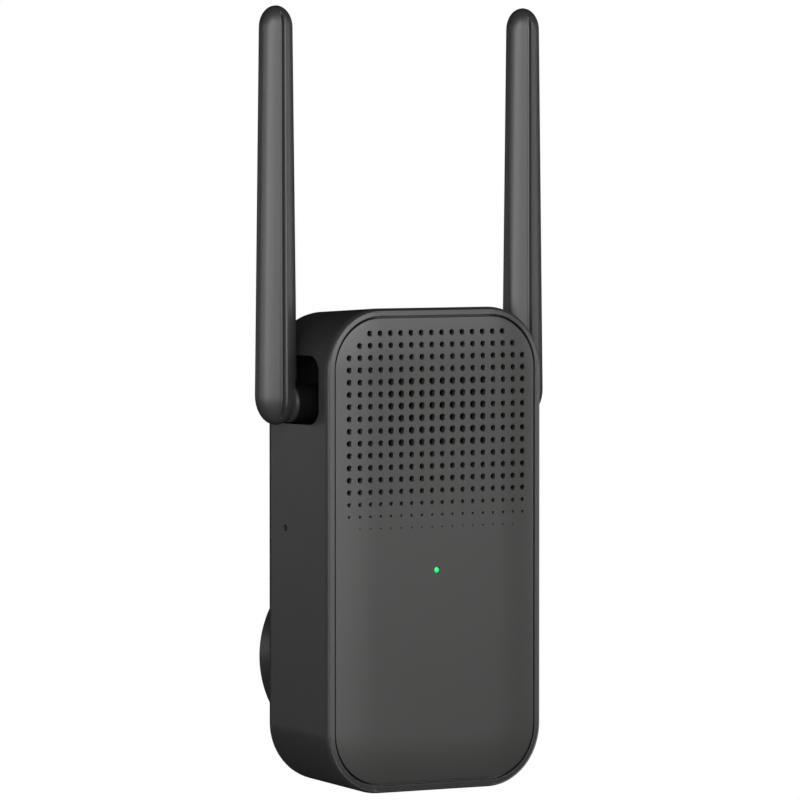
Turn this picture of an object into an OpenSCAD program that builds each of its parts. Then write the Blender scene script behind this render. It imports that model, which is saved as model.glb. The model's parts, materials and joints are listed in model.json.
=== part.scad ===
// Wall-plug wifi range extender with two fold-down antennas.
// Origin: centre of the plug face, between the two pins, which stand one above the other.
// +X is to the right seen from the front, +Y goes into the wall, +Z is up.

/* [Body] */
// Width of the housing at its front rim
body_w = 49; // [48:0.5:52]
// Height of the housing at its front rim
body_h = 93.3; // [92:0.1:98]
// Depth from the front panel's flat face to the housing's back
body_d = 25.2; // [25:0.1:27]
// Radius of the housing's four corners, seen from the front
corner_r = 11.8; // [11:0.1:12.5]
// How far the rim lies behind the panel's flat face
rim_setback = 0.5; // [0.3:0.1:0.8]
// Rounding of the rim's outer edge
rim_round = 1.7; // [1.2:0.1:1.9]
// Rounding of the housing's back edge
back_round = 3.3; // [2:0.1:4]
// How much each side wall leans in towards the back
draft_x = 0.65; // [0:0.05:0.8]
// How much the top and bottom lean in towards the back
draft_z = 1.35; // [0:0.05:1.4]
// Wall thickness of the housing
wall = 1.7; // [1.5:0.1:1.8]

/* [Front panel] */
// Width of the front panel
panel_w = 45.4; // [45:0.1:45.5]
// Height of the front panel
panel_h = 89.4; // [89:0.1:89.5]
// Thickness of the front panel at its flat middle
panel_t = 1.8; // [1.6:0.1:2]
// How far the panel's edge falls back from its flat middle
panel_crown = 1; // [0.5:0.1:1.1]
// Spacing of the vent holes
vent_pitch = 2.34; // [2.2:0.02:2.5]
// Diameter of the vent holes
vent_d = 1.3; // [1:0.1:1.5]
// Height of the vent block's centre above the plug's centre
vent_z = 48.6; // [46:0.1:50]
// Height of the status light above the plug's centre
led_z = 18; // [16:0.5:20]
// Diameter of the status light's window
led_d = 1.15; // [1:0.05:1.5]

/* [Plug] */
// Diameter of the round boss that enters the wall socket
boss_d = 38.8; // [38:0.1:39]
// How far the boss stands out of the back
boss_out = 9; // [8:0.5:10]
// Height of the boss's centre above the housing's bottom
boss_up = 24.7; // [24.4:0.1:25]
// Diameter of the contact pins
pin_d = 4.8; // [4:0.8:4.8]
// Distance between the pins' centres
pin_gap = 19; // [18.6:0.2:19.2]
// Length of the pins beyond the plug face
pin_len = 19; // [18:0.5:19.5]

/* [Antennas] */
// Distance of each antenna's axis from the middle
antenna_x = 28.4; // [28.4:0.1:30]
// Depth of the antennas' axis behind the panel's flat face
antenna_back = 13.1; // [12.5:0.1:13.5]
// Height of the antenna hinges above the plug's centre
hinge_z = 50.3; // [50:0.1:51]
// Distance from the hinge down to the antenna's lower end
antenna_below = 4.2; // [4.1:0.1:5]
// Distance from the hinge up to the antenna's tip
antenna_above = 76.2; // [60:0.1:90]
// Width of the antenna near its hinge
antenna_w = 8.6; // [8:0.1:8.6]
// Width of the antenna near its tip
tip_w = 6.7; // [6:0.1:7]
// Depth of the antenna near its hinge, from front to back
antenna_d = 6.1; // [5.9:0.1:6.4]
// Depth of the antenna near its tip
tip_d = 5.4; // [5.2:0.1:5.8]
// Wall thickness of the antenna's shells
shell_t = 1; // [0.8:0.1:1.1]
// Height of the antenna's rounded lower end
base_dome = 5.7; // [5:0.1:6]
// Height of the antenna's rounded tip
tip_dome = 4.2; // [4:0.1:5]
// Diameter of the knuckle that carries the antenna
knuckle_d = 7.4; // [7:0.1:7.4]
// Diameter of the hollow pivot in the housing's wall
pivot_d = 5.9; // [5.6:0.1:5.9]
// Depth of the pocket in the side wall that the hinge sits in
recess = 5; // [4:0.1:5]

/* [Hidden] */
$fn = 64;
hull_fn = 32;
fit = 0.05;

// The body's main planes
face_y = -(body_d + boss_out);
rim_y = face_y + rim_setback;
back_y = -boss_out;
bottom_z = -boss_up;
mid_z = bottom_z + body_h / 2;

// The housing's inside
rear_wall = 2;
floor_y = back_y - rear_wall;
pocket_gap = 0.25;
seat_y = face_y + panel_t;
ledge = 0.5;
panel_r = corner_r - rim_round;

// The plug's parts
pin_r = pin_d / 2;
shank_r = 2;
insert_t = 7;
insert_r = 17.2;
nose_r = 15.4;
nose_t = 1.5;
neck_r = 18;
strip_t = 0.6;
rivet_t = 0.8;
leaf_x = 11.8;
leaf_w = 4;

// The circuit boards
board_r = 8;
power_y = face_y + 5.7;
power_t = 1.6;
power_back = power_y + power_t;
power_top = 13;
power_bottom = -19;
power_w = 40;
main_y = -20.4;
main_t = 1.2;
main_back = main_y + main_t;
main_bottom = 5;
main_w = 40;
main_step = 40;
main_top = 62;
main_neck = 29;
solder_out = 0.9;
power_posts = [[-15.5, -15.5], [15.5, -15.5]];
main_posts = [[-17.5, 11], [17.5, 36], [-17.5, 36], [0, 60]];
post_d = 4.4;
pilot_r = 0.9;
screw_r = 0.88;
screw_len = 5;
head_t = 1.2;

// The reset switch looks out through a small hole in the left wall
reset_y = -17.5;
reset_z = 26.05;
reset_hole_r = 0.65;
reset_x = -16.5;

// The hinge line and what lies on it
hinge_y = face_y + antenna_back;
hinge_wall = 2;
recess_x = body_w / 2 - recess;
pad_x = recess_x - hinge_wall;
bore_r = pivot_d / 2 + fit;
clip_t = 0.7;
washer_t = 0.8;
groove_r = 2.4;
clip_gap = 0.1;
clip_x = pad_x - washer_t - 2 * clip_gap - clip_t;
pivot_end = clip_x - 0.9;
knuckle_x = recess_x + 0.1;
spigot_x = 25.2;
spigot_r = 1.9;
spigot_end = 27.2;
lead_r = 0.57;
lead_bore_r = 1;
flat_x = body_w / 2 + 0.12;
lead_split = 21.4;
socket_x = 13.2;
socket_z = 41;

// ---- Shared shapes ----

// Rounded rectangle, width along X and height along Y
module rounded(w, h, r) {
    square([w - 2 * r, h], center = true);
    square([w, h - 2 * r], center = true);
    for (x = [-1, 1], y = [-1, 1])
        translate([x * (w / 2 - r), y * (h / 2 - r)]) circle(r);
}

// Extrudes a front-view outline from y0 back to y0 + t
module front_plate(y0, t) {
    translate([0, y0 + t, 0]) rotate([90, 0, 0]) linear_extrude(t) children();
}

// Round bar along +Y from y0
module bar_y(x, y0, z, r, t) {
    translate([x, y0, z]) rotate([-90, 0, 0]) cylinder(r = r, h = t);
}

// Round bar along +X from x0
module bar_x(x0, y, z, r, t) {
    translate([x0, y, z]) rotate([0, 90, 0]) cylinder(r = r, h = t);
}

// Block given by its low corner and its size
module block(at, size) {
    translate(at) cube(size);
}

// Builds for the right side and mirrors for the left
module on_side(s) {
    if (s < 0) mirror([1, 0, 0]) children();
    else children();
}

// Disc facing -Y whose front edge is rounded; t is both its thickness and its rounding
module eased_disc(r, t) {
    rotate([90, 0, 0]) rotate_extrude($fn = hull_fn)
        polygon(concat([[0, 0]], [for (a = [0 : 22.5 : 90]) [r - t + t * cos(a), t * sin(a)]], [[0, t]]));
}

// Places a child at each corner of a rectangle centred on the body
module at_corners(w, h, r, y) {
    for (x = [-1, 1], z = [-1, 1])
        translate([x * (w / 2 - r), y, mid_z + z * (h / 2 - r)]) children();
}

// ---- Enclosure ----

// Outer form: rounded rim in front, leaning walls, rounded back edge
module housing_form() {
    hull() {
        at_corners(body_w, body_h, corner_r, rim_y + rim_round)
            eased_disc(corner_r, rim_round);
        at_corners(body_w - 2 * draft_x, body_h - 2 * draft_z, corner_r, back_y - back_round)
            mirror([0, 1, 0]) eased_disc(corner_r, back_round);
    }
}

// Hollow behind the panel's seat
module cavity_form() {
    inner_r = panel_r - ledge;
    hull() {
        at_corners(panel_w + 2 * pocket_gap - 2 * ledge, panel_h + 2 * pocket_gap - 2 * ledge,
                   inner_r, seat_y)
            rotate([90, 0, 0]) cylinder(r = inner_r, h = 0.5, $fn = hull_fn);
        at_corners(body_w - 2 * draft_x - 2 * wall - 1, body_h - 2 * draft_z - 2 * wall - 1,
                   inner_r, floor_y)
            rotate([90, 0, 0]) cylinder(r = inner_r, h = 0.5, $fn = hull_fn);
    }
}

// Outline of the hinge pocket, seen from the side: depth along X, height along Y
module pocket_outline() {
    low = hinge_z - 4.1;
    high = hinge_z + 9;
    translate([hinge_y, (low + high) / 2]) rounded(15.2, high - low, 3);
}

// Extrudes a side-view outline outwards along +X from x0
module side_plate(x0, t) {
    translate([x0, 0, 0]) rotate([90, 0, 90]) linear_extrude(t) children();
}

module post(at, top_y) {
    bar_y(at[0], top_y, at[1], post_d / 2, floor_y - top_y + 0.5);
}

module housing() {
    slot_w = 1.6;
    slot_len = 9;
    color([0.26, 0.26, 0.26]) difference() {
        housing_form();
        difference() {
            cavity_form();
            for (s = [-1, 1]) on_side(s)
                block([pad_x, hinge_y - 8.6, hinge_z - 5.6], [body_w / 2 - 2 - pad_x, 18.4, 16.2]);
            for (at = power_posts) post(at, power_back);
            for (at = main_posts) post(at, main_back);
        }
        translate([0, 0, mid_z]) front_plate(rim_y - 1, seat_y - rim_y + 1)
            rounded(panel_w + 2 * pocket_gap, panel_h + 2 * pocket_gap, panel_r);
        bar_y(0, floor_y - 1, 0, neck_r + fit, rear_wall + 2);
        for (at = power_posts) bar_y(at[0], power_back - 1, at[1], pilot_r, screw_len + 1);
        for (at = main_posts) bar_y(at[0], main_back - 1, at[1], pilot_r, screw_len + 1);
        for (s = [-1, 1]) on_side(s) {
            side_plate(recess_x, 10) pocket_outline();
            bar_x(pad_x - 1, hinge_y, hinge_z, bore_r, hinge_wall + 2);
        }
        bar_x(-body_w / 2 - 1, reset_y, reset_z, reset_hole_r, 5);
        for (i = [-3 : 3])
            block([i * 3.4 - slot_w / 2, hinge_y - slot_len / 2, bottom_z - 1], [slot_w, slot_len, 5]);
    }
}

// Pillow-shaped cover: flat in the middle and falling back towards its edge
module front_panel() {
    flat_in = 8;
    pipe_r = led_d / 2;
    color([0.3, 0.3, 0.29]) difference() {
        union() {
            hull() {
                at_corners(panel_w, panel_h, panel_r, seat_y)
                    rotate([90, 0, 0]) cylinder(r = panel_r, h = panel_t - panel_crown, $fn = hull_fn);
                at_corners(panel_w - 2 * flat_in, panel_h - 2 * flat_in, 4, face_y + 0.4)
                    rotate([90, 0, 0]) cylinder(r = 4, h = 0.4, $fn = hull_fn);
            }
            // Four hooks that snap behind the housing's ledge
            for (x = [-1, 1], z = [mid_z - 22, mid_z + 10])
                block([x * 21.2 - 0.6, seat_y - 0.2, z - 2.5], [1.2, 3.4, 5]);
        }
        for (col = [-4.5 : 4.5], row = [-2.5 : 2.5])
            bar_y(col * vent_pitch, face_y - 1, vent_z + row * vent_pitch, vent_d / 2, panel_t + 2);
        bar_y(0, face_y - 1, led_z, pipe_r + fit, panel_t + 2);
    }
}

// Clear rod that carries the light from the board to the panel
module light_pipe() {
    led_face = main_y - 0.8;
    color([0.75, 0.95, 0.8]) {
        bar_y(0, face_y + 0.1, led_z, led_d / 2, panel_t - 0.1);
        bar_y(0, seat_y, led_z, 1.9, 0.8);
        bar_y(0, seat_y + 0.8, led_z, 1.2, led_face - 0.2 - seat_y - 0.8);
    }
}

// ---- Plug ----

// Round sleeve behind the housing, with a neck through its back wall
module plug_shroud() {
    guide_w = 5.6;
    guide_depth = 1.2;
    color([0.2, 0.2, 0.2]) difference() {
        union() {
            bar_y(0, back_y, 0, boss_d / 2, boss_out);
            bar_y(0, floor_y, 0, neck_r, rear_wall + 1);
        }
        bar_y(0, floor_y - 1, 0, insert_r + fit, rear_wall + 1 + boss_out - nose_t);
        bar_y(0, -nose_t - 1, 0, nose_r + fit, nose_t + 2);
        for (z = [-1, 1])
            translate([0, back_y / 2 + 1, z * (boss_d / 2 + 2 - guide_depth)])
                cube([guide_w, boss_out + 1.9, 4], center = true);
    }
}

module plug_insert() {
    color([0.16, 0.16, 0.16]) difference() {
        union() {
            bar_y(0, -insert_t, 0, insert_r, insert_t - nose_t);
            bar_y(0, -nose_t, 0, nose_r, nose_t);
        }
        for (z = [-1, 1]) bar_y(0, -insert_t - 1, z * pin_gap / 2, shank_r + 0.02, insert_t + 2);
    }
}

// Contact pin: a thick free end, a shank through the insert and a riveted head
module contact_pin(z) {
    tip = 1.8;
    head_y = -insert_t - strip_t - rivet_t;
    bar_y(0, head_y + rivet_t, z, shank_r, insert_t + strip_t);
    bar_y(0, head_y, z, 2.9, rivet_t);
    bar_y(0, 0, z, pin_r, pin_len - tip);
    translate([0, pin_len - tip, z]) rotate([-90, 0, 0]) cylinder(r1 = pin_r, r2 = pin_r - 1.3, h = tip);
}

module live_pin() {
    color([0.78, 0.76, 0.7]) contact_pin(pin_gap / 2);
}

module neutral_pin() {
    color([0.78, 0.76, 0.7]) contact_pin(-pin_gap / 2);
}

// Brass strip from the upper pin's riveted end, across and down to the power board
module contact_strip() {
    tab_y = -insert_t - strip_t;
    tab_w = 4;
    edge = leaf_x + strip_t / 2;
    difference() {
        union() {
            bar_y(0, tab_y, pin_gap / 2, 3.2, strip_t);
            block([-edge, tab_y, pin_gap / 2 - tab_w / 2], [edge, strip_t, tab_w]);
            block([-edge, tab_y, -leaf_w / 2], [tab_w, strip_t, (pin_gap + tab_w + leaf_w) / 2]);
            block([-edge, power_y - solder_out, -leaf_w / 2],
                  [strip_t, tab_y + strip_t - power_y + solder_out, leaf_w]);
        }
        bar_y(0, tab_y - 1, pin_gap / 2, shank_r + 0.02, strip_t + 2);
    }
}

module live_strip() {
    color([0.8, 0.65, 0.3]) contact_strip();
}

module neutral_strip() {
    color([0.8, 0.65, 0.3]) rotate([0, 180, 0]) contact_strip();
}

// ---- Power supply ----

module power_board() {
    color([0.55, 0.42, 0.2]) difference() {
        translate([0, 0, (power_top + power_bottom) / 2]) front_plate(power_y, power_t)
            rounded(power_w, power_top - power_bottom, board_r);
        for (s = [-1, 1])
            block([s * leaf_x - strip_t / 2 - 0.1, power_y - 1, -leaf_w / 2 - 0.1],
                  [strip_t + 0.2, power_t + 2, leaf_w + 0.2]);
        for (at = power_posts) bar_y(at[0], power_y - 1, at[1], screw_r + 0.2, power_t + 2);
        for (x = link_xs()) bar_y(x, power_y - 1, link_z, link_r + 0.05, power_t + 2);
    }
}

core_w = 15;
core_h = 13;
core_d = 12;
core_z = -9;
leg = 3;
coil_gap = 0.3;

// Two-legged core around the winding, open top and bottom
module transformer_core() {
    color([0.22, 0.22, 0.24]) difference() {
        block([-core_w / 2, power_back, core_z - core_h / 2], [core_w, core_d, core_h]);
        block([-core_w / 2 + leg, power_back + leg, core_z - core_h / 2 - 1],
              [core_w - 2 * leg, core_d - 2 * leg, core_h + 2]);
    }
}

module transformer_coil() {
    color([0.85, 0.72, 0.25])
        block([-core_w / 2 + leg + coil_gap, power_back + leg + coil_gap, core_z - core_h / 2 - 0.5],
              [core_w - 2 * leg - 2 * coil_gap, core_d - 2 * leg - 2 * coil_gap, core_h + 1]);
}

// Can that stands on the power board
module can(x, z, d, h) {
    bar_y(x, power_back, z, d / 2, h);
}

module bulk_capacitors() {
    color([0.12, 0.14, 0.3]) for (x = [-12.7, 12.7]) can(x, -8.5, 8, 12.5);
}

module output_capacitor() {
    color([0.1, 0.25, 0.2]) can(16.6, 0.2, 6.3, 9);
}

module bridge_rectifier() {
    color([0.1, 0.1, 0.1]) block([5, power_back, 5], [4.8, 2.6, 6.5]);
}

module fuse_resistor() {
    color([0.4, 0.55, 0.4]) bar_x(-12, power_back + 1.6, 10, 1.6, 9);
}

module varistor() {
    color([0.15, 0.35, 0.7]) bar_x(-18, power_back + 3.6, 0, 3.5, 3.2);
}

module filter_choke() {
    color([0.2, 0.2, 0.2]) difference() {
        can(0, 1.8, 6, 7);
        bar_y(0, power_back + 6, 1.8, 1.5, 2);
    }
}

link_z = 9;
link_r = 0.32;
link_pitch = 2;
function link_xs() = [for (i = [0 : 3]) 12.5 + i * link_pitch];

// Four pins with a spacer that join the two boards
module board_link() {
    color([0.75, 0.7, 0.5]) {
        difference() {
            block([11.3, power_back, link_z - 1.2], [8.4, main_y - power_back, 2.4]);
            for (x = link_xs()) bar_y(x, power_back - 1, link_z, link_r, main_y - power_back + 2);
        }
        for (x = link_xs())
            bar_y(x, power_y - solder_out, link_z, link_r, main_back + solder_out - power_y + solder_out);
    }
}

module insulation_sheet() {
    sheet_t = 0.3;
    sheet_y = power_y - head_t - 0.1 - sheet_t;
    color([0.85, 0.83, 0.75]) translate([0, 0, (power_top + power_bottom) / 2])
        front_plate(sheet_y, sheet_t) rounded(power_w - 2, power_top - power_bottom - 2, board_r - 1);
}

// ---- Radio board ----

module main_board() {
    color([0.05, 0.3, 0.15]) difference() {
        front_plate(main_y, main_t) {
            translate([-main_w / 2, main_bottom]) square([main_w, main_step - main_bottom]);
            translate([-main_neck / 2, main_step - 1]) square([main_neck, main_top - main_step + 1]);
        }
        for (at = main_posts) bar_y(at[0], main_y - 1, at[1], screw_r + 0.2, main_t + 2);
        for (x = link_xs()) bar_y(x, main_y - 1, link_z, link_r + 0.05, main_t + 2);
    }
}

chip_t = 1;
shield_w = 22;
shield_h = 17;
shield_t = 2.2;
shield_skin = 0.2;
sink_w = 20;
sink_h = 15;
sink_base = 1.4;
fin_out = 4.2;

module wifi_chip() {
    color([0.08, 0.08, 0.08]) block([-5, main_y - chip_t, vent_z - 5], [10, chip_t, 10]);
}

module thermal_pad() {
    pad_t = shield_t - shield_skin - chip_t;
    color([0.55, 0.6, 0.75]) block([-4.5, main_y - chip_t - pad_t, vent_z - 4.5], [9, pad_t, 9]);
}

module rf_shield() {
    color([0.75, 0.76, 0.78]) difference() {
        block([-shield_w / 2, main_y - shield_t, vent_z - shield_h / 2], [shield_w, shield_t, shield_h]);
        block([-shield_w / 2 + shield_skin, main_y - shield_t + shield_skin,
               vent_z - shield_h / 2 + shield_skin],
              [shield_w - 2 * shield_skin, shield_t, shield_h - 2 * shield_skin]);
    }
}

module heat_sink() {
    sink_y = main_y - shield_t - sink_base;
    color([0.2, 0.2, 0.21]) {
        block([-sink_w / 2, sink_y, vent_z - sink_h / 2], [sink_w, sink_base, sink_h]);
        for (i = [0 : 5])
            block([-sink_w / 2 + i * (sink_w - 1) / 5, sink_y - fin_out, vent_z - sink_h / 2],
                  [1, fin_out + 0.1, sink_h]);
    }
}

module flash_chip() {
    color([0.1, 0.1, 0.1]) block([-10, main_y - chip_t, 28], [6, chip_t, 5]);
}

module crystal() {
    color([0.8, 0.8, 0.78]) block([6, main_y - 0.8, 30], [3.2, 0.8, 2.5]);
}

module coax_sockets() {
    color([0.85, 0.7, 0.35]) for (s = [-1, 1]) on_side(s)
        bar_y(socket_x, main_y - 1.2, socket_z - 1.5, 1.2, 1.2);
}

module status_led() {
    color([0.3, 0.9, 0.4]) block([-0.8, main_y - 0.8, led_z - 0.4], [1.6, 0.8, 0.8]);
}

plunger_r = 0.75;
reset_travel = 0.3;

module reset_switch() {
    body_x = 3.5;
    color([0.12, 0.12, 0.12]) difference() {
        block([reset_x - body_x, main_back, reset_z - 2.3], [body_x, 3.4, 4.6]);
        bar_x(reset_x - body_x - 1, reset_y, reset_z, plunger_r + 0.08, 3);
    }
}

module reset_plunger() {
    color([0.7, 0.7, 0.68]) bar_x(reset_x - 4.9, reset_y, reset_z, plunger_r, 3.4 - reset_travel);
}

module screw(at, board_y) {
    bar_y(at[0], board_y - head_t, at[1], 1.75, head_t);
    bar_y(at[0], board_y - 0.1, at[1], screw_r, screw_len);
}

module board_screws() {
    color([0.6, 0.6, 0.62]) {
        for (at = power_posts) screw(at, power_y);
        for (at = main_posts) screw(at, main_y);
    }
}

// ---- Antennas, drawn for the right side ----

// Tapered oval rod with rounded ends and a flat towards the housing, shrunk all round by inset
module antenna_form(inset) {
    low = hinge_z - antenna_below;
    high = hinge_z + antenna_above;
    flat = flat_x + 0.9 * inset;
    intersection() {
        hull() {
            translate([antenna_x, hinge_y, low + base_dome])
                scale([antenna_w / 2 - inset, antenna_d / 2 - inset, base_dome - inset])
                    sphere(1, $fn = hull_fn);
            translate([antenna_x, hinge_y, high - tip_dome])
                scale([tip_w / 2 - inset, tip_d / 2 - inset, tip_dome - inset])
                    sphere(1, $fn = hull_fn);
        }
        block([flat, hinge_y - 10, low - 1], [20, 20, high - low + 2]);
    }
}

// Keeps what lies on one side of the seam; way is +1 outside and -1 inside
module seam_half(way) {
    seam = 0.04;
    size = 200;
    translate([antenna_x + way * (size / 2 + seam), hinge_y, hinge_z]) cube(size, center = true);
}

module outer_shell(s) {
    color([0.3, 0.3, 0.3]) on_side(s) difference() {
        intersection() {
            antenna_form(0);
            seam_half(1);
        }
        antenna_form(shell_t);
    }
}

module inner_shell(s) {
    color([0.28, 0.28, 0.28]) on_side(s) difference() {
        union() {
            difference() {
                intersection() {
                    antenna_form(0);
                    seam_half(-1);
                }
                antenna_form(shell_t);
            }
            bar_x(knuckle_x, hinge_y, hinge_z, knuckle_d / 2, spigot_x + 0.4 - knuckle_x);
        }
        bar_x(knuckle_x - 1, hinge_y, hinge_z, pivot_d / 2 + 0.01, spigot_x - knuckle_x + 1);
        bar_x(spigot_x - 1, hinge_y, hinge_z, spigot_r + 0.01, 3);
    }
}

// Hollow pin that turns in the housing's wall
module pivot(s) {
    color([0.5, 0.5, 0.5]) on_side(s) difference() {
        union() {
            bar_x(pivot_end, hinge_y, hinge_z, pivot_d / 2, clip_x - pivot_end);
            bar_x(clip_x - 0.1, hinge_y, hinge_z, groove_r, clip_t + 0.3);
            bar_x(clip_x + clip_t + clip_gap, hinge_y, hinge_z, pivot_d / 2,
                  spigot_x - clip_x - clip_t - clip_gap);
            bar_x(spigot_x - 0.1, hinge_y, hinge_z, spigot_r, spigot_end - spigot_x + 0.1);
        }
        bar_x(pivot_end - 1, hinge_y, hinge_z, lead_bore_r, spigot_end - pivot_end + 2);
    }
}

module ring_x(x, r_in, r_out, t) {
    difference() {
        bar_x(x, hinge_y, hinge_z, r_out, t);
        bar_x(x - 1, hinge_y, hinge_z, r_in, t + 2);
    }
}

// Split ring in the pivot's groove
module retaining_clip(s) {
    color([0.35, 0.35, 0.37]) on_side(s) difference() {
        ring_x(clip_x, groove_r + 0.02, 4.3, clip_t);
        block([clip_x - 1, hinge_y - 1.2, hinge_z], [clip_t + 2, 2.4, 6]);
    }
}

module friction_washer(s) {
    color([0.7, 0.7, 0.72]) on_side(s)
        ring_x(clip_x + clip_t + clip_gap, pivot_d / 2 + 0.15, 4.5, washer_t);
}

// Coax from the pivot's bore across to the board's socket
module board_lead(s) {
    color([0.85, 0.85, 0.85]) on_side(s) {
        bar_x(socket_x, hinge_y, hinge_z, lead_r, lead_split - 0.1 - socket_x);
        translate([socket_x, hinge_y, hinge_z]) sphere(lead_r);
        translate([socket_x, hinge_y, socket_z]) cylinder(r = lead_r, h = hinge_z - socket_z);
    }
}

// Coax from the pivot's bore up into the antenna
module antenna_lead(s) {
    lead_top = hinge_z + 12;
    color([0.85, 0.85, 0.85]) on_side(s) {
        bar_x(lead_split, hinge_y, hinge_z, lead_r, antenna_x - lead_split);
        translate([antenna_x, hinge_y, hinge_z]) sphere(lead_r);
        translate([antenna_x, hinge_y, hinge_z]) cylinder(r = lead_r, h = lead_top - hinge_z);
    }
}

// Copper-clad strip that is the antenna proper
module radiator(s) {
    strip_w = 3.4;
    radiator_len = 55;
    color([0.75, 0.5, 0.25]) on_side(s)
        block([antenna_x - strip_w / 2, hinge_y - 0.4, hinge_z + 12], [strip_w, 0.8, radiator_len]);
}

housing();
front_panel();
light_pipe();
plug_shroud();
plug_insert();
live_pin();
neutral_pin();
live_strip();
neutral_strip();
power_board();
transformer_core();
transformer_coil();
bulk_capacitors();
output_capacitor();
bridge_rectifier();
fuse_resistor();
varistor();
filter_choke();
board_link();
insulation_sheet();
main_board();
wifi_chip();
thermal_pad();
rf_shield();
heat_sink();
flash_chip();
crystal();
coax_sockets();
status_led();
reset_switch();
reset_plunger();
board_screws();
board_lead(-1);  // left_board_lead
friction_washer(-1);  // left_friction_washer
pivot(-1);  // left_pivot
retaining_clip(-1);  // left_retaining_clip
inner_shell(-1);  // left_antenna_inner_shell
outer_shell(-1);  // left_antenna_outer_shell
antenna_lead(-1);  // left_antenna_lead
radiator(-1);  // left_radiator
board_lead(1);  // right_board_lead
friction_washer(1);  // right_friction_washer
pivot(1);  // right_pivot
retaining_clip(1);  // right_retaining_clip
inner_shell(1);  // right_antenna_inner_shell
outer_shell(1);  // right_antenna_outer_shell
antenna_lead(1);  // right_antenna_lead
radiator(1);  // right_radiator
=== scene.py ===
import json
import math

import bmesh
import bpy
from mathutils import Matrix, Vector


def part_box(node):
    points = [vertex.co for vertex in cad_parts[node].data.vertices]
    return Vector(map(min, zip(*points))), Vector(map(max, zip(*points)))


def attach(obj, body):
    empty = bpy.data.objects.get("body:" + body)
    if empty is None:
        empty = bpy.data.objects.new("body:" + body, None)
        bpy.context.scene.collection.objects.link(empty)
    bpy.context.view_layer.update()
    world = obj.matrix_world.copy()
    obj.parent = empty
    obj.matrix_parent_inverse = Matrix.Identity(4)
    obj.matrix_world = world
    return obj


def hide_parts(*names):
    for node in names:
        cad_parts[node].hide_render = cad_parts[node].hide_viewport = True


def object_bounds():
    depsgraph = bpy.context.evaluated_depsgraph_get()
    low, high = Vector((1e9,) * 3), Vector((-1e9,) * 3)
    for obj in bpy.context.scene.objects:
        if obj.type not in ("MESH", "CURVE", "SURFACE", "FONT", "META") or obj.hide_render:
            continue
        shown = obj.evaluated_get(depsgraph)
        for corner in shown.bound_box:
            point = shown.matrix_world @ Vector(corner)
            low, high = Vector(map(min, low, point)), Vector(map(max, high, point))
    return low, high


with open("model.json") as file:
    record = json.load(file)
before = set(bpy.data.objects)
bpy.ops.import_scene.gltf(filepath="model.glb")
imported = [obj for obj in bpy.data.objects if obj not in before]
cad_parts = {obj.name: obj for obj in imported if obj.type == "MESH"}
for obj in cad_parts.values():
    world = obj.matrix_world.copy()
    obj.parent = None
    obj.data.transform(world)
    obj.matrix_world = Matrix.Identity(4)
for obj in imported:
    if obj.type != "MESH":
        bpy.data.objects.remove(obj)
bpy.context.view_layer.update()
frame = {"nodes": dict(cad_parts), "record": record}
mm = 0.001
# Closest gap that still tells two cut rings apart
hairline = 0.000004
print("frame loaded:", len(frame["nodes"]), "nodes")


def deselectAll():
    for obj in list(bpy.context.selected_objects):
        obj.select_set(False)
    bpy.context.view_layer.objects.active = None


def makeActive(obj):
    deselectAll()
    obj.select_set(True)
    bpy.context.view_layer.objects.active = obj


def startEdit(obj):
    makeActive(obj)
    bpy.ops.object.mode_set(mode="EDIT")
    bpy.ops.mesh.select_mode(type="VERT")


def endEdit():
    bpy.ops.object.mode_set(mode="OBJECT")


# Selects the verts, edges or faces that pass a test, in edit mode
def pick(kind, test):
    obj = bpy.context.edit_object
    bpy.ops.mesh.select_all(action="DESELECT")
    bpy.ops.mesh.select_mode(type=kind)
    mesh = bmesh.from_edit_mesh(obj.data)
    for item in {"VERT": mesh.verts, "EDGE": mesh.edges, "FACE": mesh.faces}[kind]:
        if test(item):
            item.select_set(True)
    bmesh.update_edit_mesh(obj.data)


def near(a, b, gap=0.00002):
    return abs(a - b) < gap


# True for an edge whose two ends both pass a test on their place
def bothEnds(edge, test):
    return test(edge.verts[0].co) and test(edge.verts[1].co)


# True for an edge that runs along one axis, given by its number
def runsAlong(edge, axis):
    start, end = edge.verts[0].co, edge.verts[1].co
    return all(near(start[i], end[i]) for i in range(3) if i != axis)


# Test for the faces that lie flat at one value of an axis
def faceAt(axis, value):
    return lambda face: all(near(vert.co[axis], value) for vert in face.verts)


def push(offset):
    bpy.ops.mesh.extrude_region_move(TRANSFORM_OT_translate={"value": offset})


def bevelEdges(offset, segments):
    bpy.ops.mesh.bevel(offset=offset, segments=segments, affect="EDGES", clamp_overlap=True)


def faceOutwards():
    bpy.ops.mesh.select_all(action="SELECT")
    bpy.ops.mesh.normals_make_consistent(inside=False)


def applyTransform():
    bpy.ops.object.transform_apply(location=True, rotation=True, scale=True)


def applyModifiers(obj):
    makeActive(obj)
    for modifier in list(obj.modifiers):
        bpy.ops.object.modifier_apply(modifier=modifier.name)


def addBox(name, low, high):
    low, high = Vector(low), Vector(high)
    deselectAll()
    bpy.ops.mesh.primitive_cube_add(size=1, location=(low + high) / 2)
    obj = bpy.context.object
    obj.name = name
    obj.scale = high - low
    applyTransform()
    return obj


# Round bar from start along the x, y or z axis
def addBar(name, start, axis, length, radius, sides=48):
    turn = {"x": (0, math.pi / 2, 0), "y": (-math.pi / 2, 0, 0), "z": (0, 0, 0)}[axis]
    way = {"x": Vector((1, 0, 0)), "y": Vector((0, 1, 0)), "z": Vector((0, 0, 1))}[axis]
    deselectAll()
    bpy.ops.mesh.primitive_cylinder_add(
        vertices=sides, radius=radius, depth=length, rotation=turn, location=Vector(start) + way * length / 2)
    obj = bpy.context.object
    obj.name = name
    applyTransform()
    return obj


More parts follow.
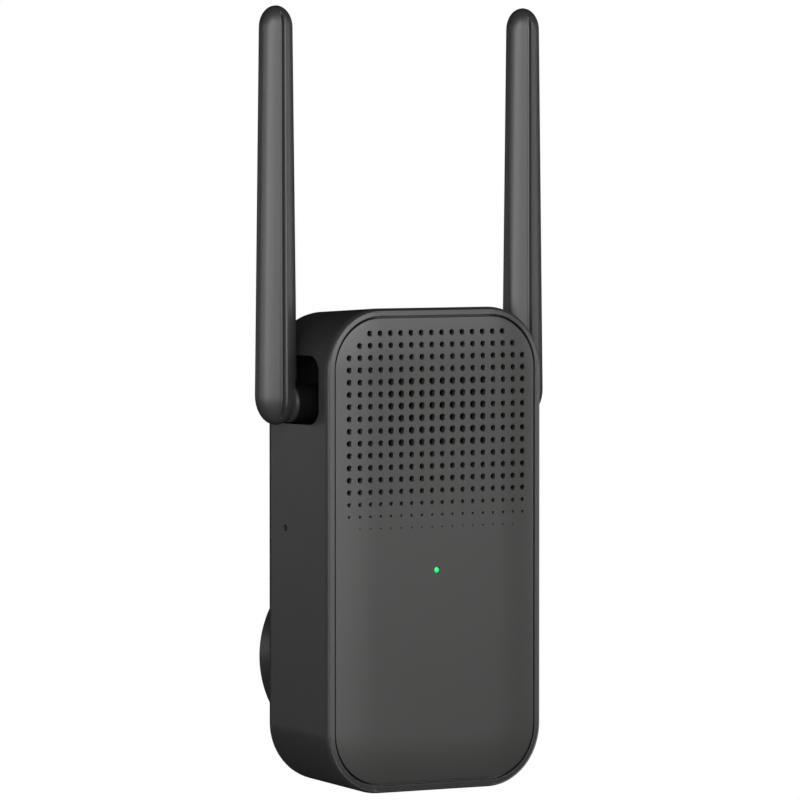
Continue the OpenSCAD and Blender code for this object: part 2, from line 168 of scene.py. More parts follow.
def joinAll(objects, name):
    deselectAll()
    for obj in objects:
        obj.select_set(True)
    bpy.context.view_layer.objects.active = objects[0]
    if len(objects) > 1:
        bpy.ops.object.join()
    objects[0].name = name
    return objects[0]


def boolean(obj, tools, operation="DIFFERENCE"):
    tool = joinAll(tools, "tool")
    modifier = obj.modifiers.new("boolean", "BOOLEAN")
    modifier.operation = operation
    modifier.solver = "EXACT"
    modifier.object = tool
    applyModifiers(obj)
    bpy.data.objects.remove(tool)


def copyOf(obj, name):
    twin = obj.copy()
    twin.data = obj.data.copy()
    twin.name = name
    bpy.context.scene.collection.objects.link(twin)
    return twin


def mirrorX(obj):
    makeActive(obj)
    obj.scale.x = -1
    applyTransform()
    startEdit(obj)
    faceOutwards()
    endEdit()
    return obj


# Rounds every edge sharper than the angle
def easeEdges(obj, width, segments=2, angle=40):
    modifier = obj.modifiers.new("ease", "BEVEL")
    modifier.width = width
    modifier.segments = segments
    modifier.limit_method = "ANGLE"
    modifier.angle_limit = math.radians(angle)
    applyModifiers(obj)


# Shades a finished piece and gives it its material, body and the nodes it stands for
def finishPiece(obj, name, body, nodes, material, smooth=38, weigh=True):
    makeActive(obj)
    applyTransform()
    bpy.ops.object.shade_smooth_by_angle(angle=math.radians(smooth))
    if weigh:
        weighted = obj.modifiers.new("weighted", "WEIGHTED_NORMAL")
        weighted.keep_sharp = True
        applyModifiers(obj)
    obj.name = name
    obj.data.name = name
    obj.data.materials.clear()
    obj.data.materials.append(material)
    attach(obj, body)
    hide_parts(*nodes)
    print("piece made:", name, len(obj.data.polygons), "faces")
    return obj


# How far a point lies inside a rounded outline, seen from the front
def depthInside(x, z, halfW, halfH, radius):
    ax = abs(x) - (halfW - radius)
    az = abs(z) - (halfH - radius)
    if ax > 0 and az > 0:
        return radius - math.hypot(ax, az)
    return radius - max(ax, az)


def newGroup(name, inputs, outputs):
    group = bpy.data.node_groups.new(name, "ShaderNodeTree")
    kinds = {"color": "NodeSocketColor", "value": "NodeSocketFloat", "vector": "NodeSocketVector"}
    for label, kind, default in inputs:
        socket = group.interface.new_socket(name=label, in_out="INPUT", socket_type=kinds[kind])
        if default is not None:
            socket.default_value = default
    for label, kind in outputs:
        group.interface.new_socket(name=label, in_out="OUTPUT", socket_type=kinds[kind])
    return group, group.nodes.new("NodeGroupInput"), group.nodes.new("NodeGroupOutput")


def mathNode(tree, operation, first, second=None, third=None):
    node = tree.nodes.new("ShaderNodeMath")
    node.operation = operation
    for index, value in enumerate((first, second, third)):
        if value is None:
            continue
        if isinstance(value, (int, float)):
            node.inputs[index].default_value = value
        else:
            tree.links.new(value, node.inputs[index])
    return node.outputs[0]


def noiseNode(tree, vector, scale, detail=2.0, roughness=0.5):
    node = tree.nodes.new("ShaderNodeTexNoise")
    node.inputs["Detail"].default_value = detail
    node.inputs["Roughness"].default_value = roughness
    tree.links.new(vector, node.inputs["Vector"])
    if isinstance(scale, (int, float)):
        node.inputs["Scale"].default_value = scale
    else:
        tree.links.new(scale, node.inputs["Scale"])
    return node.outputs["Fac"]


def mixColor(tree, factor, first, second, blend="MIX"):
    node = tree.nodes.new("ShaderNodeMix")
    node.data_type = "RGBA"
    node.blend_type = blend
    node.clamp_factor = True
    for socket, value in ((node.inputs["Factor"], factor), (node.inputs[6], first), (node.inputs[7], second)):
        if isinstance(value, (int, float, tuple)):
            socket.default_value = value
        else:
            tree.links.new(value, socket)
    return node.outputs[2]


def remap(tree, value, low, high, toLow, toHigh):
    node = tree.nodes.new("ShaderNodeMapRange")
    node.inputs["From Min"].default_value = low
    node.inputs["From Max"].default_value = high
    for name, target in (("To Min", toLow), ("To Max", toHigh)):
        if isinstance(target, (int, float)):
            node.inputs[name].default_value = target
        else:
            tree.links.new(target, node.inputs[name])
    tree.links.new(value, node.inputs["Value"])
    return node.outputs["Result"]


# Moulded plastic: spark-eroded grain, faint flow in the tone, and handled patches in the gloss
def buildMouldedGroup():
    group, into, out = newGroup(
        "mouldedPlastic",
        [("Vector", "vector", None), ("Base Color", "color", (0.05, 0.05, 0.05, 1)),
         ("Tone Change", "value", 0.12), ("Grain Scale", "value", 4000), ("Grain Depth", "value", 0.00002),
         ("Roughness", "value", 0.5), ("Gloss Change", "value", 0.1)],
        [("Color", "color"), ("Roughness", "value"), ("Normal", "vector")])
    vector = into.outputs["Vector"]
    coarse = noiseNode(group, vector, into.outputs["Grain Scale"], 3.0, 0.6)
    voronoi = group.nodes.new("ShaderNodeTexVoronoi")
    voronoi.feature = "SMOOTH_F1"
    group.links.new(vector, voronoi.inputs["Vector"])
    group.links.new(mathNode(group, "MULTIPLY", into.outputs["Grain Scale"], 0.8), voronoi.inputs["Scale"])
    height = mathNode(group, "MULTIPLY_ADD", voronoi.outputs["Distance"], -0.6, coarse)
    bump = group.nodes.new("ShaderNodeBump")
    bump.inputs["Strength"].default_value = 1.0
    group.links.new(height, bump.inputs["Height"])
    group.links.new(into.outputs["Grain Depth"], bump.inputs["Distance"])
    flow = noiseNode(group, vector, 38, 3.0, 0.55)
    speck = remap(group, coarse, 0.3, 0.7, -0.5, 0.5)
    tone = mathNode(group, "MULTIPLY_ADD", speck, 0.55, mathNode(group, "SUBTRACT", flow, 0.5))
    gain = mathNode(group, "MULTIPLY_ADD", tone, into.outputs["Tone Change"], 1.0)
    scaled = group.nodes.new("ShaderNodeVectorMath")
    scaled.operation = "SCALE"
    group.links.new(into.outputs["Base Color"], scaled.inputs[0])
    group.links.new(gain, scaled.inputs["Scale"])
    group.links.new(scaled.outputs[0], out.inputs["Color"])
    handled = noiseNode(group, vector, 55, 4.0, 0.6)
    patch = mathNode(group, "SUBTRACT", handled, 0.5)
    rough = mathNode(group, "MULTIPLY_ADD", patch, into.outputs["Gloss Change"], into.outputs["Roughness"])
    group.links.new(rough, out.inputs["Roughness"])
    group.links.new(bump.outputs["Normal"], out.inputs["Normal"])
    return group


# Drawn, turned or rolled metal: fine lines along or round one axis, and a little tarnish
def buildMetalGroup():
    group, into, out = newGroup(
        "workedMetal",
        [("Vector", "vector", None), ("Base Color", "color", (0.6, 0.6, 0.6, 1)), ("Tarnish", "value", 0.2),
         ("Line Scale", "value", 6000), ("Line Depth", "value", 0.000004), ("Roughness", "value", 0.3)],
        [("Color", "color"), ("Roughness", "value"), ("Normal", "vector")])
    vector = into.outputs["Vector"]
    stretch = group.nodes.new("ShaderNodeMapping")
    stretch.inputs["Scale"].default_value = (0.03, 1.0, 0.03)
    group.links.new(vector, stretch.inputs["Vector"])
    lines = noiseNode(group, stretch.outputs["Vector"], into.outputs["Line Scale"], 3.0, 0.7)
    bump = group.nodes.new("ShaderNodeBump")
    group.links.new(lines, bump.inputs["Height"])
    group.links.new(into.outputs["Line Depth"], bump.inputs["Distance"])
    stain = remap(group, noiseNode(group, vector, 320, 5.0, 0.65), 0.45, 0.75, 0.0, into.outputs["Tarnish"])
    dark = mixColor(group, stain, into.outputs["Base Color"], (0.09, 0.07, 0.05, 1))
    group.links.new(dark, out.inputs["Color"])
    rough = mathNode(group, "MULTIPLY_ADD", stain, 0.5, into.outputs["Roughness"])
    rough = mathNode(group, "MULTIPLY_ADD", mathNode(group, "SUBTRACT", lines, 0.5), 0.12, rough)
    group.links.new(rough, out.inputs["Roughness"])
    group.links.new(bump.outputs["Normal"], out.inputs["Normal"])
    return group


# Wound wire, laminations or woven glass: regular bands with soft valleys between them
def buildBandGroup():
    group, into, out = newGroup(
        "bandedLayer",
        [("Vector", "vector", None), ("Base Color", "color", (0.5, 0.3, 0.1, 1)),
         ("Valley Color", "color", (0.1, 0.05, 0.02, 1)), ("Band Scale", "value", 900),
         ("Band Depth", "value", 0.00005), ("Roughness", "value", 0.4)],
        [("Color", "color"), ("Roughness", "value"), ("Normal", "vector")])
    vector = into.outputs["Vector"]
    wave = group.nodes.new("ShaderNodeTexWave")
    wave.bands_direction = "Z"
    wave.wave_profile = "SIN"
    wave.inputs["Distortion"].default_value = 0.6
    wave.inputs["Detail"].default_value = 1.0
    group.links.new(vector, wave.inputs["Vector"])
    group.links.new(into.outputs["Band Scale"], wave.inputs["Scale"])
    bump = group.nodes.new("ShaderNodeBump")
    group.links.new(wave.outputs["Fac"], bump.inputs["Height"])
    group.links.new(into.outputs["Band Depth"], bump.inputs["Distance"])
    # The darker valley colour is partly the layers' own tone and partly painted shade in the dips between
    # bands
    crest = remap(group, wave.outputs["Fac"], 0.1, 0.6, 0.0, 1.0)
    group.links.new(mixColor(group, crest, into.outputs["Valley Color"], into.outputs["Base Color"]),
                    out.inputs["Color"])
    wander = mathNode(group, "SUBTRACT", noiseNode(group, vector, 700, 3.0), 0.5)
    rough = mathNode(group, "MULTIPLY_ADD", wander, 0.2, into.outputs["Roughness"])
    group.links.new(rough, out.inputs["Roughness"])
    group.links.new(bump.outputs["Normal"], out.inputs["Normal"])
    return group


groups = {"moulded": buildMouldedGroup(), "metal": buildMetalGroup(), "banded": buildBandGroup()}
print("shader groups built:", ", ".join(groups))


# A material whose colour, roughness and normal come from one of the groups; the rest is set on the shader
def makeMaterial(name, family, groupValues, shaderValues):
    material = bpy.data.materials.new(name)
    material.use_nodes = True
    tree = material.node_tree
    shader = tree.nodes["Principled BSDF"]
    place = tree.nodes.new("ShaderNodeTexCoord")
    node = tree.nodes.new("ShaderNodeGroup")
    node.node_tree = groups[family]
    tree.links.new(place.outputs["Object"], node.inputs["Vector"])
    for label, value in groupValues.items():
        node.inputs[label].default_value = value
    tree.links.new(node.outputs["Color"], shader.inputs["Base Color"])
    tree.links.new(node.outputs["Roughness"], shader.inputs["Roughness"])
    tree.links.new(node.outputs["Normal"], shader.inputs["Normal"])
    for label, value in shaderValues.items():
        shader.inputs[label].default_value = value
    return material


def gray(level, warm=0.0):
    return (level * (1 + warm), level, level * (1 - warm), 1)


joints = {joint["name"]: joint for joint in frame["record"]["behaviour"]["joints"]}
hinge = Vector(joints["right_antenna_hinge"]["pos_m"])
print("materials: outer finishes")
housingPlastic = makeMaterial(
    "housingPlastic", "moulded",
    {"Base Color": gray(0.02, 0.012), "Tone Change": 0.10, "Grain Scale": 4200, "Grain Depth": 0.000006,
     "Roughness": 0.38, "Gloss Change": 0.05},
    {"IOR": 1.5, "Specular IOR Level": 0.5})
panelPlastic = makeMaterial(
    "panelPlastic", "moulded",
    {"Base Color": gray(0.022, 0.04), "Tone Change": 0.09, "Grain Scale": 5200, "Grain Depth": 0.000005,
     "Roughness": 0.36, "Gloss Change": 0.05},
    {"IOR": 1.5, "Specular IOR Level": 0.5})
antennaPlastic = makeMaterial(
    "antennaPlastic", "moulded",
    {"Base Color": gray(0.02, 0.01), "Tone Change": 0.09, "Grain Scale": 5600, "Grain Depth": 0.000004,
     "Roughness": 0.42, "Gloss Change": 0.04},
    {"IOR": 1.5, "Specular IOR Level": 0.5})


# Colour, roughness and reflection level of the painted shade in pockets and holes
paintedShade = {"level": 0.003, "rough": 0.75, "shine": 0.05}


# Painted shade inside a box: a darker, duller look standing in for deep shade rather than for a known finish.
# The box is given by its middle, half sizes and soft borders, in millimetres
def paintShadeInside(material, middle, half, soft):
    tree = material.node_tree
    shader = tree.nodes["Principled BSDF"]
    place = tree.nodes.new("ShaderNodeTexCoord")
    split = tree.nodes.new("ShaderNodeSeparateXYZ")
    tree.links.new(place.outputs["Object"], split.inputs[0])
    mask = None
    for axis in range(3):
        offset = mathNode(tree, "SUBTRACT", split.outputs[axis], middle[axis] * mm)
        offset = mathNode(tree, "ABSOLUTE", offset)
        inside = remap(tree, offset, half[axis] * mm, (half[axis] - soft[axis]) * mm, 0.0, 1.0)
        mask = mathNode(tree, "MULTIPLY", mask, inside) if mask else inside
    color, rough = shader.inputs["Base Color"], shader.inputs["Roughness"]
    colorFrom, roughFrom = color.links[0].from_socket, rough.links[0].from_socket
    tree.links.new(mixColor(tree, mask, colorFrom, gray(paintedShade["level"])), color)
    tree.links.new(remap(tree, mask, 0, 1, roughFrom, paintedShade["rough"]), rough)
    tree.links.new(remap(tree, mask, 0, 1, 0.5, paintedShade["shine"]), shader.inputs["Specular IOR Level"])


# Painted shade inside the hinge pockets, round the knuckles in them, and down the panel's holes
hingeY, hingeZ = hinge.y / mm, hinge.z / mm
paintShadeInside(housingPlastic, (0, hingeY, hingeZ + 1), (23.4, 9.5, 9.4), (1, 0.6, 0.8))
paintShadeInside(antennaPlastic, (0, hingeY, hingeZ), (25.6, 5, 5), (0.4, 0.6, 0.6))
paintShadeInside(panelPlastic, (0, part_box("front_panel")[0].y / mm + 5.8, 22), (40, 5, 60), (1, 0.6, 1))
insertPlastic = makeMaterial(
    "insertPlastic", "moulded",
    {"Base Color": gray(0.028), "Tone Change": 0.14, "Grain Scale": 3000, "Grain Depth": 0.00003,
     "Roughness": 0.56, "Gloss Change": 0.1},
    {"IOR": 1.5})
pinNickel = makeMaterial(
    "pinNickel", "metal",
    {"Base Color": (0.66, 0.63, 0.57, 1), "Tarnish": 0.25, "Line Scale": 9000, "Line Depth": 0.000005,
     "Roughness": 0.2},
    {"Metallic": 1.0})

housing = {
    "cornerRadius": 11.8, "cornerSteps": 18, "leanX": 0.65, "leanZ": 1.35, "backRound": 3.3,
    "rimWidth": 1.55, "rimSlope": 0.22, "rimInnerRound": 0.12, "easedEdge": 0.16,
    "rollDepth": 1.8, "rollWidth": 0.7, "rollAngle": 80, "rollSteps": 6,
    "seatDepth": 1.3, "ledge": 0.5, "floorThickness": 2.0, "draftX": 0.968, "draftZ": 0.972,
    "hingePocket": 5, "pocketHalf": 7.6, "pocketBelow": 4.1, "pocketAbove": 9, "pocketCorner": 3.0,
    "pocketRound": 2.2, "pocketSteps": 7, "pocketTopShare": 0.3,
    "padDepth": 2.0, "padFront": 8.6, "padBack": 9.8, "padBelow": 5.6, "padAbove": 10.6,
    "boreRadius": 3.0, "neckRadius": 18.05, "postRadius": 2.2, "pilotRadius": 0.9, "pilotDepth": 5,
    "pinhole": 0.65, "pinholeY": -17.5, "pinholeZ": 26.05,
    "slotsEachSide": 3, "slotWidth": 1.6, "slotLength": 9, "slotPitch": 3.4, "slotRound": 0.6,
}
# x and z of the screw posts under each board
boardPosts = {
    "power_board": [(-15.5, -15.5), (15.5, -15.5)],
    "main_board": [(-17.5, 11), (17.5, 36), (-17.5, 36), (0, 60)],
}


# Box with the edges along one axis rounded
def roundedCutter(name, low, high, radius, axis, segments=8):
    box = addBox(name, low, high)
    startEdit(box)
    pick("EDGE", lambda edge: runsAlong(edge, axis))
    bevelEdges(radius, segments)
    endEdit()
    return box


# Cutter for a hinge pocket, its mouth flaring softly on every side but the foot
def pocketCutter(side, floorX, faceX, footZ, topZ):
    spec = housing
    half, flare = spec["pocketHalf"] * mm, spec["pocketRound"] * mm
    ends = sorted((side * floorX, side * (faceX - flare)))
    cutter = roundedCutter("pocket", (ends[0], hinge.y - half, footZ), (ends[1], hinge.y + half, topZ),
                           spec["pocketCorner"] * mm, 0)
    startEdit(cutter)
    steps, topShare = spec["pocketSteps"], spec["pocketTopShare"]
    x, grown = faceX - flare, 0
    pick("FACE", faceAt(0, side * x))
    for step in range(1, steps + 1):
        angle = math.pi / (2 * steps) * step
        reach = flare * math.sin(angle) if step < steps else flare + 0.4 * mm
        spread = flare * (1 - math.cos(angle))
        push((side * (faceX - flare + reach - x), 0, 0))
        x = faceX - flare + reach
        wider = (half + spread) / (half + grown)
        taller = (topZ - footZ + topShare * spread) / (topZ - footZ + topShare * grown)
        bpy.ops.transform.resize(value=(1, wider, taller), center_override=(side * x, hinge.y, footZ))
        grown = spread
    endEdit()
    return cutter


def makeHousing():
    spec = housing
    low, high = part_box("housing")
    mid = (low + high) / 2
    width, height = high.x - low.x, high.z - low.z
    corner = spec["cornerRadius"] * mm
    shell = addBox("housingShell", low, high)
    startEdit(shell)
    pick("EDGE", lambda edge: runsAlong(edge, 1))
    bevelEdges(corner, spec["cornerSteps"])
    pick("FACE", faceAt(1, high.y))
    bpy.ops.transform.resize(
        value=(1 - 2 * spec["leanX"] * mm / width, 1, 1 - 2 * spec["leanZ"] * mm / height),
        center_override=(mid.x, high.y, mid.z))
    pick("EDGE", lambda edge: bothEnds(edge, lambda co: near(co.y, high.y)))
    bevelEdges(spec["backRound"] * mm, 7)

    # Rim, pocket for the panel, ledge, and the hollow behind it
    pick("FACE", faceAt(1, low.y))
    bpy.ops.mesh.inset(thickness=spec["rimWidth"] * mm, depth=0)
    push((0, spec["seatDepth"] * mm, 0))
    bpy.ops.mesh.inset(thickness=spec["ledge"] * mm, depth=0)
    seatY = low.y + spec["seatDepth"] * mm
    floorY = high.y - spec["floorThickness"] * mm
    push((0, floorY - seatY, 0))
    bpy.ops.transform.resize(value=(spec["draftX"], 1, spec["draftZ"]),
                             center_override=(mid.x, floorY, mid.z))

    # Front edge rolled over on the outside, and the rim's face falling back outwards
    rolls = []
    fullAngle = math.radians(spec["rollAngle"])
    for step in range(1, spec["rollSteps"] + 1):
        angle = fullAngle * step / spec["rollSteps"]
        planeY = low.y + spec["rollDepth"] * mm * (1 - math.sin(angle) / math.sin(fullAngle))
        rolls.append((planeY, spec["rollWidth"] * mm * (1 - math.cos(angle))))
    for planeY, _ in rolls[:-1]:
        bpy.ops.mesh.select_all(action="SELECT")
        bpy.ops.mesh.bisect(plane_co=(0, planeY, 0), plane_no=(0, 1, 0))
    for planeY, inward in rolls:
        pick("VERT", lambda vert: near(vert.co.y, planeY, hairline) and depthInside(
            vert.co.x, vert.co.z - mid.z, width / 2, height / 2, corner) < 0.4 * mm)
        bpy.ops.transform.resize(value=(1 - 2 * inward / width, 1, 1 - 2 * inward / height),
                                 center_override=(mid.x, planeY, mid.z))
    bpy.ops.transform.translate(value=(0, spec["rimSlope"] * mm, 0))

    def innerRim(co):
        depth = depthInside(co.x, co.z - mid.z, width / 2, height / 2, corner)
        return near(co.y, low.y) and depth > (spec["rimWidth"] - 0.15) * mm
    pick("EDGE", lambda edge: bothEnds(edge, innerRim))
    bevelEdges(spec["rimInnerRound"] * mm, 2)
    endEdit()

    # Pads behind the hinges and posts for the boards
    added = []
    padX = high.x - (spec["hingePocket"] + spec["padDepth"]) * mm
    for side in (-1, 1):
        ends = sorted((side * padX, side * (high.x - 2 * mm)))
        added.append(addBox(
            "pad", (ends[0], hinge.y - spec["padFront"] * mm, hinge.z - spec["padBelow"] * mm),
            (ends[1], hinge.y + spec["padBack"] * mm, hinge.z + spec["padAbove"] * mm)))
    posts = [(x * mm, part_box(board)[1].y, z * mm) for board, places in boardPosts.items() for x, z in places]
    for x, top, z in posts:
        added.append(addBar("post", (x, top, z), "y", floorY + 0.5 * mm - top, spec["postRadius"] * mm, 24))
    boolean(shell, added, "UNION")

    # Hinge pockets and bores, reset hole, neck hole, pilot holes and bottom slots
    cuts = []
    pocketX = high.x - spec["hingePocket"] * mm
    footZ, topZ = hinge.z - spec["pocketBelow"] * mm, hinge.z + spec["pocketAbove"] * mm
    for side in (-1, 1):
        cuts.append(pocketCutter(side, pocketX, high.x, footZ, topZ))
        ends = sorted((side * (padX - 1 * mm), side * (pocketX + 1 * mm)))
        cuts.append(addBar("bore", (ends[0], hinge.y, hinge.z), "x", ends[1] - ends[0],
                           spec["boreRadius"] * mm))
    cuts.append(addBar("pinhole", (low.x - 1 * mm, spec["pinholeY"] * mm, spec["pinholeZ"] * mm), "x",
                       5 * mm, spec["pinhole"] * mm, 32))
    cuts.append(addBar("neck", (0, floorY - 1 * mm, 0), "y", 4 * mm, spec["neckRadius"] * mm, 96))
    for x, top, z in posts:
        cuts.append(addBar("pilot", (x, top - 1 * mm, z), "y", (spec["pilotDepth"] + 1) * mm,
                           spec["pilotRadius"] * mm, 20))
    halfW, halfL = spec["slotWidth"] * mm / 2, spec["slotLength"] * mm / 2
    for step in range(-spec["slotsEachSide"], spec["slotsEachSide"] + 1):
        x = step * spec["slotPitch"] * mm
        cuts.append(roundedCutter("slot", (x - halfW, hinge.y - halfL, low.z - 1 * mm),
                                  (x + halfW, hinge.y + halfL, low.z + 4 * mm), spec["slotRound"] * mm, 2, 4))
    boolean(shell, cuts)
    easeEdges(shell, spec["easedEdge"] * mm, 2, 45)
    return finishPiece(shell, "housingShell", "case", ["housing"], housingPlastic)


makeHousing()


panel = {
    "cornerRadius": 10.1, "cornerSteps": 18, "crownWidth": 8.62, "crownBend": 0.00854, "crownSteps": 10,
    "edgeRound": 0.1, "rows": 17, "columns": 18, "pitch": 2.34, "topRowZ": 63.82,
    "holeRadius": 0.52, "fadeRadii": [0.47, 0.36, 0.24, 0.15], "dimpleDepth": 1.6, "dimpleRatio": 3.4,
    "ventRadius": 0.63, "ventRows": range(4, 10), "ventColumns": range(4, 14), "throughDepth": 3,
    "flare": 0.08, "flareShare": 0.3, "mouthAbove": 0.6, "holeSides": 20, "smallSides": 12,
    "windowRadius": 0.625, "windowZ": 18, "windowSides": 32,
    "hookX": 21.2, "hookZ": [-22, 10], "hookHalfX": 0.6, "hookHalfZ": 2.5, "hookRound": 0.35,
}


# How far the panel's front falls back at a point, from its flat middle
def panelFall(x, z, halfW, halfH):
    depth = depthInside(x, z, halfW, halfH, panel["cornerRadius"] * mm) / mm
    return panel["crownBend"] * max(0, panel["crownWidth"] - depth) ** 2 * mm


# The first row stops two holes short at each end, the second and the last row one hole short
def holeColumns(row):
    short = {0: 2, 1: 1, panel["rows"] - 1: 1}.get(row, 0)
    return range(short, panel["columns"] - short)


# Flared cutter for one hole: open at its mouth, and cut to a depth or right through
def holeCutter(x, z, mouthY, radius, depth, sides):
    flare = min(panel["flare"] * mm, radius * panel["flareShare"])
    above = panel["mouthAbove"] * mm
    deselectAll()
    bpy.ops.mesh.primitive_cylinder_add(
        vertices=sides, radius=radius, depth=depth, rotation=(-math.pi / 2, 0, 0),
        location=(x, mouthY + depth / 2, z))
    cutter = bpy.context.object
    applyTransform()
    startEdit(cutter)
    pick("FACE", faceAt(1, mouthY))
    bpy.ops.transform.translate(value=(0, flare, 0))
    push((0, -flare, 0))
    grow = (radius + flare) / radius
    bpy.ops.transform.resize(value=(grow, 1, grow), center_override=(x, mouthY, z))
    push((0, -above, 0))
    far = (radius + flare + above) / (radius + flare)
    bpy.ops.transform.resize(value=(far, 1, far), center_override=(x, mouthY, z))
    endEdit()
    return cutter


def makePanel():
    spec = panel
    low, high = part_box("front_panel")
    mid = (low + high) / 2
    halfW, halfH = (high.x - low.x) / 2, (high.z - low.z) / 2
    corner = spec["cornerRadius"] * mm
    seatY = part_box("housing")[0].y + housing["seatDepth"] * mm
    edgeY = low.y + panelFall(halfW, 0, halfW, halfH)
    cover = addBox("frontPanel", (low.x, edgeY, low.z), (high.x, seatY, high.z))
    startEdit(cover)
    pick("EDGE", lambda edge: runsAlong(edge, 1))
    bevelEdges(corner, spec["cornerSteps"])
    pick("FACE", faceAt(1, edgeY))
    step = spec["crownWidth"] * mm / spec["crownSteps"]
    for index in range(spec["crownSteps"]):
        before = spec["crownBend"] * (spec["crownWidth"] - index * step / mm) ** 2 * mm
        after = spec["crownBend"] * (spec["crownWidth"] - (index + 1) * step / mm) ** 2 * mm
        bpy.ops.mesh.inset(thickness=step, depth=before - after)

    def atEdge(co):
        return near(co.y, edgeY) and depthInside(co.x, co.z - mid.z, halfW, halfH, corner) < 0.05 * mm
    pick("EDGE", lambda edge: bothEnds(edge, atEdge))
    bevelEdges(spec["edgeRound"] * mm, 2)
    endEdit()

    cutters = []
    for row in range(spec["rows"]):
        z = (spec["topRowZ"] - row * spec["pitch"]) * mm
        fade = row - (spec["rows"] - len(spec["fadeRadii"]))
        sides = spec["holeSides"] if fade < 2 else spec["smallSides"]
        for column in holeColumns(row):
            x = (column - (spec["columns"] - 1) / 2) * spec["pitch"] * mm
            through = column in spec["ventColumns"] and row in spec["ventRows"]
            radius = spec["ventRadius"] if through else spec["holeRadius"]
            if fade >= 0:
                radius = spec["fadeRadii"][fade]
            mouthY = low.y + panelFall(x, z - mid.z, halfW, halfH)
            depth = min(spec["dimpleDepth"], radius * spec["dimpleRatio"]) * mm
            if through:
                depth = spec["throughDepth"] * mm
            cutters.append(holeCutter(x, z, mouthY, radius * mm, depth, sides))
    cutters.append(holeCutter(0, spec["windowZ"] * mm, low.y, spec["windowRadius"] * mm,
                              spec["throughDepth"] * mm, spec["windowSides"]))
    print("holes to cut:", len(cutters))
    boolean(cover, cutters)

    # Snap hooks behind the cover
    hooks = []
    halfX, halfZ = spec["hookHalfX"] * mm, spec["hookHalfZ"] * mm
    for side in (-1, 1):
        for rise in spec["hookZ"]:
            x, z = side * spec["hookX"] * mm, mid.z + rise * mm
            hook = addBox("hook", (x - halfX, seatY - 0.2 * mm, z - halfZ), (x + halfX, high.y, z + halfZ))
            startEdit(hook)
            pick("FACE", faceAt(1, high.y))
            bevelEdges(spec["hookRound"] * mm, 2)
            endEdit()
            hooks.append(hook)
    boolean(cover, hooks, "UNION")
    return finishPiece(cover, "frontPanel", "case", ["front_panel"], panelPlastic, 30)


makePanel()


antenna = {
    "sides": 72, "domeSteps": 10, "firstRing": 0.25, "straightSteps": 8,
    "baseDome": 5.7, "tipDome": 4.2, "footWidth": 8.72, "tipWidth": 6.84, "footDepth": 6.1, "tipDepth": 5.4,
    "wall": 1.6, "flatWall": 1.2, "flatX": 24.62, "seamGap": 0.1, "seamSteps": 7,
    # side, width and fall of the rolled seam edge, on the outer half and then the inner one
    "seamEdges": [(1, 0.9, 0.6), (-1, 1.4, 0.8)],
    "knuckleRadius": 3.7, "knuckleEnd": 26.0, "pivotRadius": 2.96, "pivotEnd": 25.2,
    "spigotRadius": 1.91, "spigotStart": 25, "easedEdge": 0.15,
}


# Tapered oval rod with domed ends, drawn out ring by ring, shrunk by inset and pressed flat at flatX
def antennaRod(name, axisX, low, high, inset, flatX):
    spec = antenna
    footW, footD = spec["footWidth"] * mm / 2 - inset, spec["footDepth"] * mm / 2 - inset
    tipW, tipD = spec["tipWidth"] * mm / 2 - inset, spec["tipDepth"] * mm / 2 - inset
    baseZ, tipZ = low + spec["baseDome"] * mm, high - spec["tipDome"] * mm
    baseH, tipH = spec["baseDome"] * mm - inset, spec["tipDome"] * mm - inset
    # Each ring: its height, half width and half depth
    rings = []
    count, first = spec["domeSteps"], spec["firstRing"]
    angles = [math.pi / 2 * (1 - (step + first) / (count + first)) for step in range(count)]
    for angle in angles:
        rings.append((baseZ - baseH * math.sin(angle), footW * math.cos(angle), footD * math.cos(angle)))
    for step in range(spec["straightSteps"] + 1):
        share = step / spec["straightSteps"]
        rings.append((baseZ + (tipZ - baseZ) * share, footW + (tipW - footW) * share,
                      footD + (tipD - footD) * share))
    for angle in reversed(angles):
        rings.append((tipZ + tipH * math.sin(angle), tipW * math.cos(angle), tipD * math.cos(angle)))
    deselectAll()
    footZ, footHalfW, footHalfD = rings[0]
    bpy.ops.mesh.primitive_circle_add(vertices=spec["sides"], radius=footHalfW, fill_type="NGON",
                                      location=(axisX, hinge.y, footZ))
    rod = bpy.context.object
    rod.name = name
    applyTransform()
    startEdit(rod)
    bpy.ops.mesh.select_all(action="SELECT")
    bpy.ops.transform.resize(value=(1, footHalfD / footHalfW, 1), center_override=(axisX, hinge.y, footZ))
    for before, after in zip(rings, rings[1:]):
        push((0, 0, after[0] - before[0]))
        bpy.ops.transform.resize(value=(after[1] / before[1], after[2] / before[2], 1),
                                 center_override=(axisX, hinge.y, after[0]))
    faceOutwards()
    pick("VERT", lambda vert: vert.co.x < flatX)
    bpy.ops.transform.resize(value=(0, 1, 1), center_override=(flatX, hinge.y, low))
    endEdit()
    return rod


